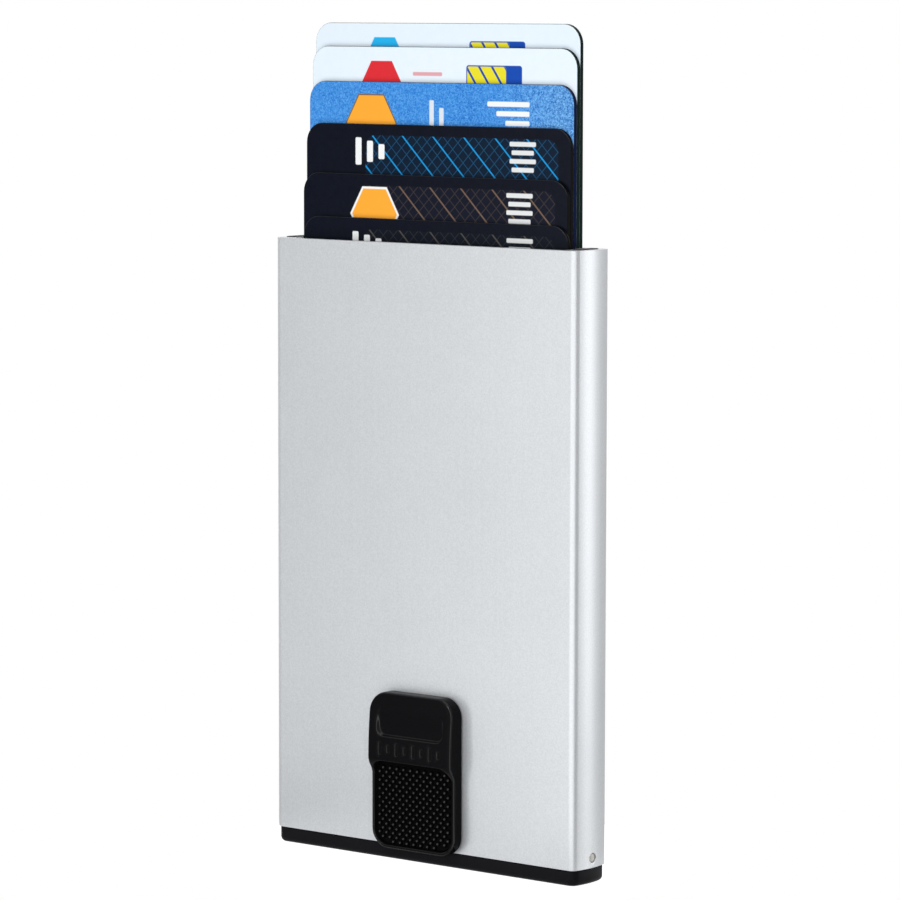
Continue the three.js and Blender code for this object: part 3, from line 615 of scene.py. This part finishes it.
def relief(bm, boundary, loops, height, spacing, facing_front):
    """A surface inside a boundary, with lines along the loops, at a height that a function gives."""
    points = []
    edges = []
    for loop in [boundary, *loops]:
        first = len(points)
        points.extend(loop)
        edges.extend((first + k, first + (k + 1) % len(loop)) for k in range(len(loop)))
    for row in range(int(TAB_HEIGHT / spacing) + 1):
        for column in range(int(TAB_WIDTH / spacing) + 1):
            x = -TAB_WIDTH / 2 + spacing * (column + 0.5 * (row % 2))
            z = TAB_LOW + spacing * row
            if rounded_distance(x, z, *TAB_OUTLINE) < -TAB_EDGE - TAB_FILL_GAP * spacing:
                points.append((x, z))
    flat = [Vector(point) for point in points]
    rim = list(range(len(boundary)))
    made, _, faces, _, _, _ = delaunay_2d_cdt(flat, edges, [rim], 1, OUTLINE_MERGE)
    verts = [bm.verts.new((p.x * MM, height(p.x, p.y) * MM, p.y * MM)) for p in made]
    for face in faces:
        ring = [verts[k] for k in face]
        bm.faces.new(ring if facing_front else ring[::-1])


def skin(bm, rings):
    """Joins each closed ring of vertices to the next one."""
    for first, second in zip(rings, rings[1:]):
        for k in range(len(first)):
            after = (k + 1) % len(first)
            bm.faces.new((first[k], first[after], second[after], second[k]))


def joined_mesh(name, bm, material, body):
    bmesh.ops.remove_doubles(bm, verts=bm.verts, dist=MESH_MERGE * MM)
    loose = [v for v in bm.verts if not v.link_faces]
    bmesh.ops.delete(bm, geom=loose, context="VERTS")
    bmesh.ops.recalc_face_normals(bm, faces=bm.faces)
    mesh = bpy.data.meshes.new(name)
    bm.to_mesh(mesh)
    bm.free()
    for polygon in mesh.polygons:
        polygon.use_smooth = True
    mesh.materials.append(material)
    piece = bpy.data.objects.new(name, mesh)
    bpy.context.scene.collection.objects.link(piece)
    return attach(piece, body)


def tab_lines():
    """Lines that the tab's front follows: its round edge, the recess, the grooves and the pocket."""
    turns = [math.radians(90 * k / TAB_EDGE_STEPS) for k in range(1, TAB_EDGE_STEPS + 1)]
    loops = [rounded_loop(*TAB_OUTLINE, grown=-TAB_EDGE * (1 - math.cos(turn))) for turn in turns]
    for k in range(-NAIL_WALL_STEPS, NAIL_WALL_STEPS + 1):
        loops.append(rounded_loop(*NAIL_OUTLINE, grown=NAIL_WALL * k / NAIL_WALL_STEPS))
    for centre, bar in bars():
        for grown in (-BAR_WALL, 0.0, BAR_WALL):
            loop = rounded_loop(*bar, grown=grown, step=BAR_LINE_STEP)
            loops.append([(x + centre, z) for x, z in loop])
    for grown in (*POCKET_RIM_LINES, -POCKET_WALL / 2, -POCKET_WALL):
        loops.append(rounded_loop(*POCKET_OUTLINE, grown=grown))
    return loops


def slider_tab(material):
    bm = bmesh.new()
    outline = rounded_loop(*TAB_OUTLINE)
    inner = rounded_loop(*TAB_OUTLINE, grown=-TAB_BACK_EDGE)
    stem_lines = [rounded_loop(*STEM_OUTLINE, grown=grown) for grown in (0.0, -POCKET_WALL)]
    relief(bm, outline, tab_lines(), tab_front, TAB_FRONT_SPACING, True)
    relief(bm, inner, stem_lines, tab_back, TAB_BACK_SPACING, False)
    side_back = TAB_BACK - TAB_BACK_EDGE
    rings = [
        [(x, tab_front(x, z), z) for x, z in outline],
        [(x, tab_front(x, z) + TAB_SIDE_LINE, z) for x, z in outline],
        [(x, side_back - TAB_SIDE_LINE, z) for x, z in outline],
        [(x, side_back, z) for x, z in outline],
        [(x, TAB_BACK, z) for x, z in inner]]
    skin(bm, [[bm.verts.new(Vector(point) * MM) for point in ring] for ring in rings])
    piece = joined_mesh("tab_shell", bm, material, "slider")
    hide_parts("slider_tab")
    return piece


def stud_places():
    """The middle of each stud on the pad, in staggered rows, and the Y of the pad's face."""
    low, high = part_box("grip_insert")
    row_pitch = STUD_PITCH / 2
    places = []
    for row in range(int((high.z - low.z) / MM / row_pitch) + 1):
        for column in range(-STUD_HALF_COLUMNS, STUD_HALF_COLUMNS + 1):
            x = STUD_PITCH * (column + 0.5 * (row % 2))
            z = low.z / MM + STUD_FIRST_ROW + row_pitch * row
            if rounded_distance(x, z, *POCKET_OUTLINE) < -STUD_EDGE_GAP:
                places.append((x, z))
    return places, low.y / MM


def grip_studs(material):
    bm = bmesh.new()
    places, face = stud_places()
    turns = [2 * math.pi * k / STUD_SIDES for k in range(STUD_SIDES)]
    for x, z in places:
        rings = []
        for share, rise in STUD_PROFILE:
            radius = STUD_RADIUS * share
            y = face - STUD_HEIGHT * rise
            points = [(x + radius * math.cos(turn), y, z + radius * math.sin(turn)) for turn in turns]
            rings.append([bm.verts.new(Vector(point) * MM) for point in points])
        skin(bm, rings)
        tip = bm.verts.new(Vector((x, face - STUD_HEIGHT, z)) * MM)
        for k in range(STUD_SIDES):
            bm.faces.new((rings[-1][k], rings[-1][(k + 1) % STUD_SIDES], tip))
        bm.faces.new(rings[0][::-1])
    piece = joined_mesh("grip_studs", bm, material, "slider")
    return piece


def return_spring(material):
    """The spring's wire, wound evenly through the spring's box. In the case, the lever's tails press on it
    towards its seat.
    """
    low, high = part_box("return_spring")
    wire = SPRING_WIRE / 2 * MM
    radius = (high.z - low.z) / 2 - wire
    run = high.x - low.x - 2 * wire
    steps = SPRING_TURNS * SPRING_STEPS_PER_TURN
    sides = [2 * math.pi * k / SPRING_SIDES for k in range(SPRING_SIDES)]
    bm = bmesh.new()
    rings = []
    for step in range(steps + 1):
        angle = 2 * math.pi * step / SPRING_STEPS_PER_TURN
        outward = Vector((0.0, math.cos(angle), math.sin(angle)))
        turning = Vector((0.0, -math.sin(angle), math.cos(angle))) * 2 * math.pi * SPRING_TURNS * radius
        across = outward.cross(turning + Vector((run, 0.0, 0.0))).normalized()
        centre = (low + high) / 2 + radius * outward
        centre.x = low.x + wire + run * step / steps
        offsets = [wire * (math.cos(side) * outward + math.sin(side) * across) for side in sides]
        rings.append([bm.verts.new(centre + offset) for offset in offsets])
    skin(bm, rings)
    bm.faces.new(rings[0][::-1])
    bm.faces.new(rings[-1])
    piece = joined_mesh("spring_coil", bm, material, "case")
    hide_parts("return_spring")
    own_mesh(piece)


def dress(name, material, bevel):
    """Gives a CAD node its material, and breaks its sharp edges with modifiers."""
    node = NODES[name]
    node.data.materials.clear()
    node.data.materials.append(material)
    node.data.attributes.remove(node.data.attributes["custom_normal"])
    node.data.shade_smooth()
    weld = node.modifiers.new("weld", "WELD")
    weld.merge_threshold = WELD_DISTANCE * MM
    flat = node.modifiers.new("flat", "DECIMATE")
    flat.decimate_type = "DISSOLVE"
    flat.angle_limit = math.radians(FLAT_ANGLE)
    edge = node.modifiers.new("edge", "BEVEL")
    edge.width = bevel * MM
    edge.segments = BEVEL_SEGMENTS
    edge.limit_method = "ANGLE"
    edge.angle_limit = math.radians(BEVEL_ANGLE)
    edge.use_clamp_overlap = False
    shading = node.modifiers.new("shading", "WEIGHTED_NORMAL")
    shading.weight = NORMAL_WEIGHT


def make_case():
    dress("case_body", anodised_aluminium(), bevel=0.07)
    dress("bottom_cap", black_plastic(
        "cap_plastic", dark=(0.005, 0.005, 0.0064), pale=(0.0078, 0.0078, 0.0095),
        grain_size=0.25, rough=(0.34, 0.5), gloss=0.045, depth=0.008), bevel=0.1)
    pin = steel("pin_steel", dark=(0.25, 0.245, 0.225), pale=(0.33, 0.325, 0.295), rough=(0.4, 0.55))
    rubber = silicone()
    for side in ("left", "right"):
        dress(f"side_pin_{side}", pin, bevel=0.12)
        dress(f"brake_strip_{side}", rubber, bevel=0.1)


def make_slider():
    slider_tab(black_plastic(
        "slider_plastic", dark=(0.005, 0.005, 0.0057), pale=(0.0062, 0.0062, 0.007),
        grain_size=0.3, rough=(0.15, 0.21), depth=0.004,
        gloss=dict(gloss=0.02, edge_gloss=0.3, steep=(0.1, 0.35), flat=(0.78, 0.93), upward=(-0.6, -0.2))))
    dress("grip_insert", black_plastic(
        "grip_plastic", dark=(0.0006, 0.0006, 0.0006), pale=(0.001, 0.001, 0.001),
        grain_size=0.2, rough=(0.3, 0.4), gloss=0.02, depth=0.003), bevel=0.08)
    grip_studs(black_plastic(
        "stud_plastic", dark=(0.001, 0.001, 0.001), pale=(0.002, 0.002, 0.002),
        grain_size=0.2, rough=(0.15, 0.21), depth=0.001,
        gloss=dict(gloss=0.02, edge_gloss=0.36, steep=(0.87, 0.96), flat=(1.0, 1.1))))
    dress("slider_carriage", black_plastic(
        "inner_plastic", dark=(0.03, 0.03, 0.031), pale=(0.05, 0.05, 0.052),
        grain_size=0.3, rough=(0.4, 0.55), gloss=0.5, depth=0.006), bevel=0.06)


def make_metal():
    metal = steel("steel", dark=(0.50, 0.51, 0.52), pale=(0.66, 0.67, 0.68), rough=(0.22, 0.42))
    for name in NODES:
        if name.startswith(("lever_", "slider_screw_")) or name in ("drive_arm", "pivot_pin"):
            dress(name, metal, bevel=0.05)
    return_spring(metal)


def make_cards():
    green_edge = (0.003, 0.014, 0.011)
    cards = (
        pale_card("card_1", tint=(0.77, 0.87, 0.96), edge=green_edge, accent=SKY),
        pale_card("card_2", tint=(0.79, 0.885, 0.96), edge=green_edge, accent=RED),
        blue_card("card_3"),
        dark_card("card_4", wash=(0.004, 0.0125, 0.029), line=(0.02, 0.16, 0.36), strength=0.42,
                  ribbon=(0.01, 0.30, 0.70), has_emblem=False),
        dark_card("card_5", wash=(0.007, 0.0092, 0.019), line=(0.10, 0.075, 0.06), strength=0.42,
                  ribbon=(0.17, 0.11, 0.075), has_emblem=True),
        dark_card("card_6", wash=(0.005, 0.0075, 0.0145), line=(0.06, 0.06, 0.065), strength=0.4,
                  ribbon=(0.08, 0.075, 0.07), has_emblem=False))
    for number, material in enumerate(cards, start=1):
        dress(f"card_{number}", material, bevel=0.09)


def direction(azimuth, elevation):
    a, e = math.radians(azimuth), math.radians(elevation)
    return Vector((math.sin(a) * math.cos(e), -math.cos(a) * math.cos(e), math.sin(e)))


def lamp(name, azimuth, elevation, distance, size, brightness, aim):
    """A soft box that faces its aim, as bright to look at whatever its size."""
    light = bpy.data.lights.new(name, "AREA")
    light.shape = "RECTANGLE"
    light.size, light.size_y = size
    light.energy = brightness * math.pi * size[0] * size[1]
    piece = bpy.data.objects.new(name, light)
    bpy.context.scene.collection.objects.link(piece)
    back = direction(azimuth, elevation)
    piece.location = Vector(aim) + back * distance
    piece.rotation_euler = back.to_track_quat("Z", "Y").to_euler()
    piece.visible_camera = False


def make_lamps():
    lamp("key", azimuth=0.0, elevation=0.0, distance=0.36, size=(0.7, 0.7), brightness=1.87,
         aim=(0.1, 0.0, 0.05))
    lamp("side", azimuth=129.5, elevation=0.0, distance=0.8, size=(0.28, 0.72), brightness=3.6,
         aim=(0.0, 0.0, 0.22))
    lamp("spark", azimuth=12.0, elevation=42.0, distance=0.8, size=(0.07, 0.07), brightness=40.0,
         aim=(0.0, 0.0, 0.05))
    lamp("top", azimuth=10.0, elevation=75.0, distance=0.9, size=(0.5, 0.5), brightness=1.0,
         aim=(0.0, 0.0, 0.07))
    lamp("rear", azimuth=205.0, elevation=45.0, distance=1.1, size=(0.7, 0.7), brightness=2.6,
         aim=(0.0, 0.0, 0.07))


def seen_rays(tree):
    """1 for camera, glossy and transmission rays."""
    path = tree.nodes.new("ShaderNodeLightPath")
    share = path.outputs["Is Camera Ray"]
    for name in ("Is Glossy Ray", "Is Transmission Ray"):
        either = tree.nodes.new("ShaderNodeMath")
        either.operation = "MAXIMUM"
        tree.links.new(share, either.inputs[0])
        tree.links.new(path.outputs[name], either.inputs[1])
        share = either.outputs[0]
    return share


def make_world():
    world = bpy.data.worlds.new("studio")
    bpy.context.scene.world = world
    world.use_nodes = True
    tree = world.node_tree
    ground = tree.nodes["Background"]
    toward = tree.nodes.new("ShaderNodeVectorMath")
    toward.operation = "DOT_PRODUCT"
    tree.links.new(tree.nodes.new("ShaderNodeTexCoord").outputs["Generated"], toward.inputs[0])
    toward.inputs[1].default_value = direction(WORLD_DARK_AZIMUTH, 0.0)
    shade = tree.nodes.new("ShaderNodeMapRange")
    tree.links.new(toward.outputs["Value"], shade.inputs["Value"])
    shade.inputs["From Min"].default_value = WORLD_FADE[0]
    shade.inputs["From Max"].default_value = WORLD_FADE[1]
    shade.inputs["To Min"].default_value = WORLD_WHITE
    shade.inputs["To Max"].default_value = WORLD_DARK
    level = tree.nodes.new("ShaderNodeMapRange")
    tree.links.new(seen_rays(tree), level.inputs["Value"])
    level.inputs["To Min"].default_value = WORLD_LIGHT_SHARE
    level.inputs["To Max"].default_value = 1.0
    product = tree.nodes.new("ShaderNodeMath")
    product.operation = "MULTIPLY"
    tree.links.new(shade.outputs["Result"], product.inputs[0])
    tree.links.new(level.outputs["Result"], product.inputs[1])
    ground.inputs["Color"].default_value = (1.0, 1.0, 1.0, 1.0)
    tree.links.new(product.outputs[0], ground.inputs["Strength"])


def floor_material():
    """White to the eye and in reflections, while its paper sends less light back at the case."""
    material = bpy.data.materials.new("floor")
    material.use_nodes = True
    tree = material.node_tree
    tree.nodes.remove(tree.nodes["Principled BSDF"])
    paper = tree.nodes.new("ShaderNodeBsdfDiffuse")
    paper.inputs["Color"].default_value = (*FLOOR_PAPER, 1.0)
    glow = tree.nodes.new("ShaderNodeEmission")
    level = tree.nodes.new("ShaderNodeMath")
    level.operation = "MULTIPLY"
    tree.links.new(seen_rays(tree), level.inputs[0])
    level.inputs[1].default_value = FLOOR_GLOW
    tree.links.new(level.outputs[0], glow.inputs["Strength"])
    both = tree.nodes.new("ShaderNodeAddShader")
    tree.links.new(paper.outputs[0], both.inputs[0])
    tree.links.new(glow.outputs[0], both.inputs[1])
    tree.links.new(both.outputs[0], tree.nodes["Material Output"].inputs["Surface"])
    return material


def make_floor():
    mesh = bpy.data.meshes.new("floor")
    turns = [2 * math.pi * k / FLOOR_SIDES for k in range(FLOOR_SIDES)]
    rim = [(FLOOR_RADIUS * math.cos(turn), FLOOR_RADIUS * math.sin(turn), -FLOOR_DROP) for turn in turns]
    mesh.from_pydata(rim, [], [tuple(range(FLOOR_SIDES))])
    mesh.materials.append(floor_material())
    floor = bpy.data.objects.new("floor", mesh)
    bpy.context.scene.collection.objects.link(floor)


def make_camera():
    back = direction(CAMERA_AZIMUTH, CAMERA_ELEVATION)
    turn = math.radians(CAMERA_AZIMUTH)
    level_right = Vector((math.cos(turn), math.sin(turn), 0.0))
    level_up = back.cross(level_right)
    roll = math.radians(CAMERA_ROLL)
    right = level_right * math.cos(roll) + level_up * math.sin(roll)
    up = level_up * math.cos(roll) - level_right * math.sin(roll)
    data = bpy.data.cameras.new("camera")
    data.sensor_width = CAMERA_SENSOR
    data.lens = CAMERA_LENS
    data.clip_start = CAMERA_NEAREST
    camera = bpy.data.objects.new("camera", data)
    bpy.context.scene.collection.objects.link(camera)
    turned = Matrix((right, up, back)).transposed().to_4x4()
    camera.matrix_world = Matrix.Translation(Vector(CAMERA_TARGET) + back * CAMERA_DISTANCE) @ turned
    bpy.context.scene.camera = camera


def make_stage():
    for other in [o for o in bpy.context.scene.objects if o.type in ("LIGHT", "CAMERA")]:
        bpy.data.objects.remove(other)
    bpy.context.scene.view_settings.view_transform = "Standard"
    make_camera()
    make_world()
    make_floor()
    make_lamps()


make_case()
make_slider()
make_metal()
make_cards()
make_stage()
